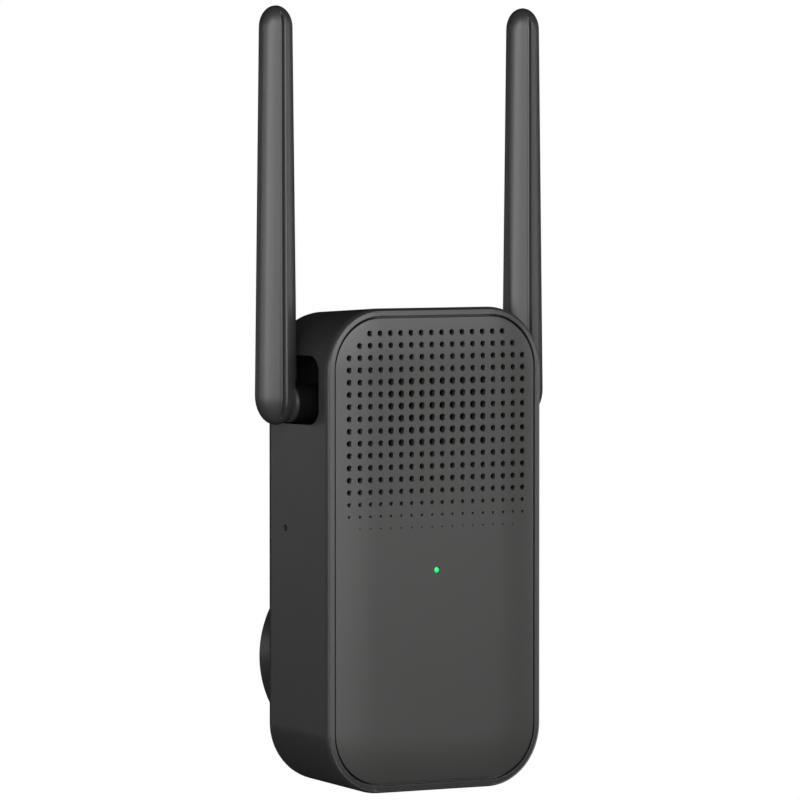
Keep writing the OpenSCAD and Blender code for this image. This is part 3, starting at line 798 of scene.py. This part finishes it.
def makeAntennaShells():
    spec = antenna
    outerLow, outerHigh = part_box("right_antenna_outer_shell")
    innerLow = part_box("right_antenna_inner_shell")[0]
    axisX = hinge.x
    low, high = outerLow.z, outerHigh.z
    flatX = spec["flatX"] * mm
    shells = []
    for side, width, fall in spec["seamEdges"]:
        rod = antennaRod("rod", axisX, low, high, 0, flatX)
        seamX = axisX + side * spec["seamGap"] * mm / 2
        # Rings cut near the seam, narrowing with the rod, then drawn in so that its edge rolls over
        startEdit(rod)
        baseZ = low + spec["baseDome"] * mm
        shrink = (1 - spec["tipWidth"] / spec["footWidth"]) / (high - spec["tipDome"] * mm - baseZ)
        rings = []
        for step in range(spec["seamSteps"]):
            angle = math.pi / (2 * spec["seamSteps"]) * step
            reach = width * mm * (1 - math.cos(angle))
            rings.append((reach, fall * (1 - math.sin(angle))))
            bpy.ops.mesh.select_all(action="SELECT")
            bpy.ops.mesh.bisect(plane_co=(seamX + side * reach, hinge.y, baseZ),
                                plane_no=(side, 0, reach * shrink), use_fill=step == 0, clear_inner=step == 0)
        for reach, inward in rings:
            pick("VERT", lambda vert: near(
                side * (vert.co.x - seamX) + (vert.co.z - baseZ) * reach * shrink, reach, hairline))
            bpy.ops.transform.resize(
                value=(1, 1 - 2 * inward / spec["footDepth"], 1 - 2 * inward * mm / (high - low)),
                center_override=(seamX, hinge.y, (low + high) / 2))
        endEdit()
        hollow = antennaRod("hollow", axisX, low, high, spec["wall"] * mm, flatX + spec["flatWall"] * mm)
        boolean(rod, [hollow])
        shells.append(rod)

    # Knuckle on the inner half, bored for the pivot and its spigot
    outer, inner = shells
    knuckle = addBar("knuckle", (innerLow.x, hinge.y, hinge.z), "x", spec["knuckleEnd"] * mm - innerLow.x,
                     spec["knuckleRadius"] * mm, 64)
    boolean(inner, [knuckle], "UNION")
    pivotBore = addBar("pivotBore", (innerLow.x - 1 * mm, hinge.y, hinge.z), "x",
                       spec["pivotEnd"] * mm - innerLow.x + 1 * mm, spec["pivotRadius"] * mm)
    boolean(inner, [pivotBore])
    spigotX = spec["spigotStart"] * mm
    spigotBore = addBar("spigotBore", (spigotX, hinge.y, hinge.z), "x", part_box("right_pivot")[1].x - spigotX,
                        spec["spigotRadius"] * mm, 32)
    boolean(inner, [spigotBore])
    easeEdges(inner, spec["easedEdge"] * mm, 2, 50)
    for shell, label in ((outer, "outer"), (inner, "inner")):
        twin = mirrorX(copyOf(shell, "mirrored"))
        for piece, body in ((shell, "right"), (twin, "left")):
            finishPiece(piece, body + "Antenna" + label.capitalize() + "Shell", body + "_antenna",
                        [body + "_antenna_" + label + "_shell"], antennaPlastic, 44, False)


makeAntennaShells()


plug = {
    "shroudEdge": 0.35, "guideEdge": 0.2, "guideWidth": 5.6, "guideDepth": 1.2,
    "noseRadius": 15.45, "noseDepth": 1.5, "noseGap": 0.05, "insertRadius": 17.25, "neckRadius": 18.0,
    "insertEdge": 0.22, "ringInset": 1.3, "ringWidth": 0.7, "ringDepth": 0.35, "ringSlope": 0.15,
    "pinRadius": 2.4, "tipRound": 1.75, "shankRadius": 2.0, "shankGap": 0.02, "seatGap": 0.25,
    "seatDepth": 0.3, "headRadius": 2.9, "headDepth": 0.8, "headRound": 0.35,
}


def makeShroud():
    spec = plug
    low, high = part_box("plug_shroud")
    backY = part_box("housing")[1].y
    sleeve = addBar("plugShroud", (0, backY, 0), "y", high.y - backY, high.x, 128)
    startEdit(sleeve)
    pick("FACE", faceAt(1, high.y))
    bpy.ops.mesh.inset(thickness=high.x - spec["noseRadius"] * mm, depth=0)
    push((0, -spec["noseDepth"] * mm, 0))
    push((0, 0, 0))
    grow = spec["insertRadius"] / spec["noseRadius"]
    insideY = high.y - spec["noseDepth"] * mm
    bpy.ops.transform.resize(value=(grow, 1, grow), center_override=(0, insideY, 0))
    push((0, low.y - insideY, 0))
    bpy.ops.mesh.delete(type="FACE")
    pick("FACE", faceAt(1, backY))
    bpy.ops.mesh.inset(thickness=high.x - spec["neckRadius"] * mm, depth=0)
    push((0, low.y - backY, 0))
    bpy.ops.mesh.delete(type="FACE")
    pick("EDGE", lambda edge: bothEnds(edge, lambda co: near(co.y, low.y)))
    bpy.ops.mesh.bridge_edge_loops()

    def outerEdge(co):
        return near(co.y, high.y) and math.hypot(co.x, co.z) > high.x - 0.2 * mm
    pick("EDGE", lambda edge: bothEnds(edge, outerEdge))
    bevelEdges(spec["shroudEdge"] * mm, 6)
    faceOutwards()
    endEdit()
    cuts = []
    for side in (-1, 1):
        ends = sorted((side * (high.x - spec["guideDepth"] * mm), side * (high.x + 3 * mm)))
        cuts.append(addBox("guide", (-spec["guideWidth"] * mm / 2, backY + 0.05 * mm, ends[0]),
                           (spec["guideWidth"] * mm / 2, high.y + 2 * mm, ends[1])))
    boolean(sleeve, cuts)
    easeEdges(sleeve, spec["guideEdge"] * mm, 2, 50)
    return finishPiece(sleeve, "plugShroud", "case", ["plug_shroud"], housingPlastic)


def makeInsert():
    spec = plug
    low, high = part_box("plug_insert")
    stepY = high.y - spec["noseDepth"] * mm
    block = addBar("plugInsert", (0, low.y, 0), "y", stepY - low.y, high.x, 96)
    startEdit(block)
    pick("FACE", faceAt(1, stepY))
    bpy.ops.mesh.inset(thickness=high.x - spec["noseRadius"] * mm + spec["noseGap"] * mm, depth=0)
    push((0, spec["noseDepth"] * mm, 0))
    for thickness, depth in ((spec["ringInset"], 0), (spec["ringSlope"], -spec["ringDepth"]),
                             (spec["ringWidth"], 0), (spec["ringSlope"], spec["ringDepth"])):
        bpy.ops.mesh.inset(thickness=thickness * mm, depth=depth * mm)
    endEdit()
    holes = []
    for name in ("live_pin", "neutral_pin"):
        pinLow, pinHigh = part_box(name)
        z = (pinLow.z + pinHigh.z) / 2
        holes.append(addBar("shank", (0, low.y - 1 * mm, z), "y", 12 * mm,
                            (spec["shankRadius"] + spec["shankGap"]) * mm, 40))
        holes.append(addBar("seat", (0, high.y - spec["seatDepth"] * mm, z), "y", 2 * mm,
                            (spec["pinRadius"] + spec["seatGap"]) * mm, 40))
    boolean(block, holes)
    easeEdges(block, spec["insertEdge"] * mm, 3, 50)
    return finishPiece(block, "plugInsert", "case", ["plug_insert"], insertPlastic)


def makePin(node, name):
    spec = plug
    low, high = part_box(node)
    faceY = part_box("plug_insert")[1].y
    z = (low.z + high.z) / 2
    headDepth = spec["headDepth"] * mm
    pin = addBar(name, (0, low.y, z), "y", headDepth, spec["headRadius"] * mm)
    startEdit(pin)
    pick("EDGE", lambda edge: bothEnds(edge, lambda co: near(co.y, low.y)))
    bevelEdges(spec["headRound"] * mm, 3)
    pick("FACE", faceAt(1, low.y + headDepth))
    bpy.ops.mesh.inset(thickness=(spec["headRadius"] - spec["shankRadius"]) * mm, depth=0)
    push((0, faceY - low.y - headDepth, 0))
    push((0, 0, 0))
    grow = spec["pinRadius"] / spec["shankRadius"]
    bpy.ops.transform.resize(value=(grow, 1, grow), center_override=(0, faceY, z))
    push((0, high.y - faceY, 0))
    pick("EDGE", lambda edge: bothEnds(edge, lambda co: near(co.y, high.y)))
    bevelEdges(spec["tipRound"] * mm, 8)
    faceOutwards()
    endEdit()
    return finishPiece(pin, name, "case", [node], pinNickel)


makeShroud()
makeInsert()
makePin("live_pin", "upperPin")
makePin("neutral_pin", "lowerPin")


# Clear rod with a domed end in the panel's window, lit from inside
lightPipe = {"lensRadius": 0.575, "flangeRadius": 1.9, "flangeDepth": 0.8, "stemRadius": 1.2, "dome": 0.3}


def makeLightMaterial():
    material = bpy.data.materials.new("litLens")
    material.use_nodes = True
    tree = material.node_tree
    shader = tree.nodes["Principled BSDF"]
    place = tree.nodes.new("ShaderNodeTexCoord")
    cloud = noiseNode(tree, place.outputs["Object"], 1600, 2.0)
    tone = remap(tree, cloud, 0.35, 0.65, 0.0, 1.0)
    glow = mixColor(tree, tone, (0.0, 0.62, 0.13, 1), (0.03, 0.85, 0.26, 1))
    tree.links.new(glow, shader.inputs["Emission Color"])
    shader.inputs["Emission Strength"].default_value = 0.9
    body = mixColor(tree, tone, (0.02, 0.3, 0.08, 1), (0.05, 0.4, 0.12, 1))
    tree.links.new(body, shader.inputs["Base Color"])
    tree.links.new(remap(tree, cloud, 0.3, 0.7, 0.1, 0.22), shader.inputs["Roughness"])
    shader.inputs["IOR"].default_value = 1.49
    return material


def makeLightPipe():
    spec = lightPipe
    low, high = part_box("light_pipe")
    mid = (low + high) / 2
    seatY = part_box("housing")[0].y + housing["seatDepth"] * mm
    rod = addBar("lightPipe", (mid.x, low.y, mid.z), "y", seatY - low.y, spec["lensRadius"] * mm, 40)
    startEdit(rod)
    pick("EDGE", lambda edge: bothEnds(edge, lambda co: near(co.y, low.y)))
    bevelEdges(spec["dome"] * mm, 5)
    pick("FACE", faceAt(1, seatY))
    flangeDepth = spec["flangeDepth"] * mm
    for radius, depth, last in ((spec["flangeRadius"], flangeDepth, spec["lensRadius"]),
                                (spec["stemRadius"], high.y - seatY - flangeDepth, spec["flangeRadius"])):
        push((0, 0, 0))
        grow = radius / last
        bpy.ops.transform.resize(value=(grow, 1, grow), center_override=(mid.x, seatY, mid.z))
        push((0, depth, 0))
    faceOutwards()
    endEdit()
    return finishPiece(rod, "lightPipe", "case", ["light_pipe"], makeLightMaterial())


makeLightPipe()

print("materials: parts inside")
# colour, tone change, grain scale, grain depth, roughness
plasticParts = {
    "transformer_core": (gray(0.035), 0.3, 1800, 0.00005, 0.6),
    "bulk_capacitors": ((0.012, 0.016, 0.06, 1), 0.15, 2600, 0.00001, 0.3),
    "output_capacitor": ((0.008, 0.05, 0.035, 1), 0.15, 2600, 0.00001, 0.3),
    "bridge_rectifier": (gray(0.012), 0.2, 4200, 0.00002, 0.55),
    "fuse_resistor": ((0.12, 0.22, 0.12, 1), 0.25, 1500, 0.00004, 0.5),
    "varistor": ((0.02, 0.1, 0.4, 1), 0.2, 1400, 0.00004, 0.35),
    "filter_choke": (gray(0.03), 0.2, 2200, 0.00003, 0.5),
    "insulation_sheet": ((0.68, 0.65, 0.52, 1), 0.12, 1200, 0.00001, 0.4),
    "wifi_chip": (gray(0.01), 0.2, 5200, 0.00001, 0.45),
    "thermal_pad": ((0.3, 0.34, 0.5, 1), 0.12, 1500, 0.00003, 0.75),
    "flash_chip": (gray(0.011), 0.2, 5200, 0.00001, 0.45),
    "status_led": ((0.75, 0.8, 0.7, 1), 0.1, 2500, 0.00001, 0.3),
    "reset_switch": (gray(0.02), 0.2, 3600, 0.00002, 0.5),
    "reset_plunger": (gray(0.45), 0.1, 3600, 0.00001, 0.4),
    "left_board_lead": (gray(0.6), 0.12, 1500, 0.00001, 0.35),
    "right_board_lead": (gray(0.6), 0.12, 1500, 0.00001, 0.35),
    "left_antenna_lead": (gray(0.6), 0.12, 1500, 0.00001, 0.35),
    "right_antenna_lead": (gray(0.6), 0.12, 1500, 0.00001, 0.35),
    "left_pivot": (gray(0.05), 0.12, 4200, 0.00001, 0.35),
    "right_pivot": (gray(0.05), 0.12, 4200, 0.00001, 0.35),
}
# colour, tarnish, line scale, roughness
metalParts = {
    "live_strip": ((0.72, 0.5, 0.2, 1), 0.35, 5000, 0.32),
    "neutral_strip": ((0.72, 0.5, 0.2, 1), 0.35, 5000, 0.32),
    "board_link": ((0.7, 0.6, 0.36, 1), 0.3, 5000, 0.35),
    "rf_shield": ((0.68, 0.69, 0.7, 1), 0.15, 3500, 0.3),
    "heat_sink": ((0.025, 0.025, 0.026, 1), 0.2, 2800, 0.5),
    "crystal": ((0.72, 0.72, 0.7, 1), 0.1, 5200, 0.25),
    "coax_sockets": ((0.8, 0.6, 0.25, 1), 0.2, 6000, 0.28),
    "board_screws": ((0.5, 0.5, 0.52, 1), 0.25, 6000, 0.35),
    "left_friction_washer": ((0.6, 0.6, 0.62, 1), 0.2, 4000, 0.3),
    "right_friction_washer": ((0.6, 0.6, 0.62, 1), 0.2, 4000, 0.3),
    "left_retaining_clip": ((0.25, 0.25, 0.27, 1), 0.2, 4000, 0.35),
    "right_retaining_clip": ((0.25, 0.25, 0.27, 1), 0.2, 4000, 0.35),
}
# colour, valley colour, band scale, band depth, roughness
bandedParts = {
    "transformer_coil": ((0.72, 0.5, 0.1, 1), (0.2, 0.1, 0.01, 1), 1100, 0.00006, 0.4),
    "power_board": ((0.42, 0.28, 0.1, 1), (0.34, 0.22, 0.075, 1), 1500, 0.00001, 0.5),
    "main_board": ((0.012, 0.13, 0.05, 1), (0.008, 0.09, 0.035, 1), 1300, 0.00001, 0.35),
    "left_radiator": ((0.62, 0.33, 0.14, 1), (0.4, 0.2, 0.08, 1), 700, 0.00001, 0.35),
    "right_radiator": ((0.62, 0.33, 0.14, 1), (0.4, 0.2, 0.08, 1), 700, 0.00001, 0.35),
}


def paint(node, material):
    target = frame["nodes"][node]
    target.data.materials.clear()
    target.data.materials.append(material)


for node, (color, change, scale, depth, rough) in plasticParts.items():
    paint(node, makeMaterial(node + "Finish", "moulded",
                             {"Base Color": color, "Tone Change": change, "Grain Scale": scale,
                              "Grain Depth": depth, "Roughness": rough, "Gloss Change": 0.12}, {"IOR": 1.5}))
for node, (color, tarnish, scale, rough) in metalParts.items():
    paint(node, makeMaterial(node + "Finish", "metal",
                             {"Base Color": color, "Tarnish": tarnish, "Line Scale": scale,
                              "Roughness": rough}, {"Metallic": 1.0}))
for node, (color, valley, scale, depth, rough) in bandedParts.items():
    paint(node, makeMaterial(node + "Finish", "banded",
                             {"Base Color": color, "Valley Color": valley, "Band Scale": scale,
                              "Band Depth": depth, "Roughness": rough}, {"IOR": 1.5}))


# Camera place in metres, its turn and dip in degrees, and its lens in millimetres
view = {"place": (-0.69956, -1.10990, 0.10211), "turn": 32.716, "dip": 2.292, "lens": 300.45}
studio = {
    "floorSize": 6, "floorBelow": 0.0015, "floorTone": 0.12, "floorRough": 0.9, "worldGlow": 0.0,
    "target": (0, -0.0076, 0.0509), "distance": 1.2,
    # each softbox: turn and rise in degrees, width and height in metres, and brightness, which began as a
    # least-squares fit, three rounded from it (9.6, 6.1 and 3.3) and the rest then changed
    "boxes": [
        (-90, -4, 0.32, 0.43, 10.0), (-67, 0, 0.32, 0.43, 3.8), (-50, 0, 0.45, 0.5, 12.0),
        (-37, 20, 0.32, 0.43, 7.6), (-22, 20, 0.32, 0.43, 9.6), (-22, 0, 0.32, 0.43, 6.1),
        (-7, 0, 0.32, 0.43, 3.3), (8, 12, 0.32, 0.8, 5.5), (23, 20, 0.32, 0.43, 6.4),
        (23, 0, 0.32, 0.43, 4.2), (38, 20, 0.32, 0.43, 1.0), (62, 0, 0.32, 0.43, 6.0),
        (-145, -8, 0.55, 0.5, 1.6), (-112, -12, 0.4, 0.4, 1.8), (98, 0, 0.3, 0.75, 0.5),
    ],
}


def makeCamera():
    data = bpy.data.cameras.new("camera")
    data.lens = view["lens"]
    data.sensor_width = 36
    data.clip_start = 0.01
    data.clip_end = 50
    camera = bpy.data.objects.new("camera", data)
    turn, dip = math.radians(view["turn"]), math.radians(view["dip"])
    forward = Vector((math.sin(turn) * math.cos(dip), math.cos(turn) * math.cos(dip), -math.sin(dip)))
    camera.location = view["place"]
    camera.rotation_euler = forward.to_track_quat("-Z", "Y").to_euler()
    bpy.context.scene.collection.objects.link(camera)
    bpy.context.scene.camera = camera


# A softbox seen from the target at a turn and rise, with its brightness given per unit of its surface
def addSoftbox(name, turn, rise, width, height, brightness):
    data = bpy.data.lights.new(name, "AREA")
    data.shape = "RECTANGLE"
    data.size, data.size_y = width, height
    data.energy = brightness * width * height * math.pi
    light = bpy.data.objects.new(name, data)
    a, b = math.radians(turn), math.radians(rise)
    out = Vector((math.sin(a) * math.cos(b), -math.cos(a) * math.cos(b), math.sin(b)))
    light.location = Vector(studio["target"]) + out * studio["distance"]
    light.rotation_euler = (-out).to_track_quat("-Z", "Y").to_euler()
    bpy.context.scene.collection.objects.link(light)


# White to the camera all round and underfoot; to the light the floor is dark grey and the world is black
def makeStudio():
    world = bpy.data.worlds.new("studio")
    bpy.context.scene.world = world
    world.use_nodes = True
    tree = world.node_tree
    tree.nodes.clear()
    path = tree.nodes.new("ShaderNodeLightPath")
    seen = tree.nodes.new("ShaderNodeBackground")
    seen.inputs["Color"].default_value = (1, 1, 1, 1)
    unseen = tree.nodes.new("ShaderNodeBackground")
    unseen.inputs["Color"].default_value = (studio["worldGlow"],) * 3 + (1,)
    mix = tree.nodes.new("ShaderNodeMixShader")
    out = tree.nodes.new("ShaderNodeOutputWorld")
    tree.links.new(path.outputs["Is Camera Ray"], mix.inputs["Fac"])
    tree.links.new(unseen.outputs[0], mix.inputs[1])
    tree.links.new(seen.outputs[0], mix.inputs[2])
    tree.links.new(mix.outputs[0], out.inputs["Surface"])

    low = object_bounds()[0]
    deselectAll()
    bpy.ops.mesh.primitive_plane_add(size=studio["floorSize"], location=(0, 0, low[2] - studio["floorBelow"]))
    floor = bpy.context.object
    floor.name = "floor"
    material = bpy.data.materials.new("paleFloor")
    material.use_nodes = True
    tree = material.node_tree
    shader = tree.nodes["Principled BSDF"]
    shader.inputs["Base Color"].default_value = gray(studio["floorTone"])
    shader.inputs["Roughness"].default_value = studio["floorRough"]
    glow = tree.nodes.new("ShaderNodeEmission")
    glow.inputs["Color"].default_value = (1, 1, 1, 1)
    path = tree.nodes.new("ShaderNodeLightPath")
    mix = tree.nodes.new("ShaderNodeMixShader")
    tree.links.new(path.outputs["Is Camera Ray"], mix.inputs["Fac"])
    tree.links.new(shader.outputs[0], mix.inputs[1])
    tree.links.new(glow.outputs[0], mix.inputs[2])
    tree.links.new(mix.outputs[0], tree.nodes["Material Output"].inputs["Surface"])
    floor.data.materials.append(material)

    for number, box in enumerate(studio["boxes"]):
        addSoftbox("softbox" + str(number), *box)


makeCamera()
makeStudio()
bpy.context.scene.view_settings.view_transform = "Standard"
bpy.context.scene.view_settings.look = "None"
print("camera, floor and lights ready")
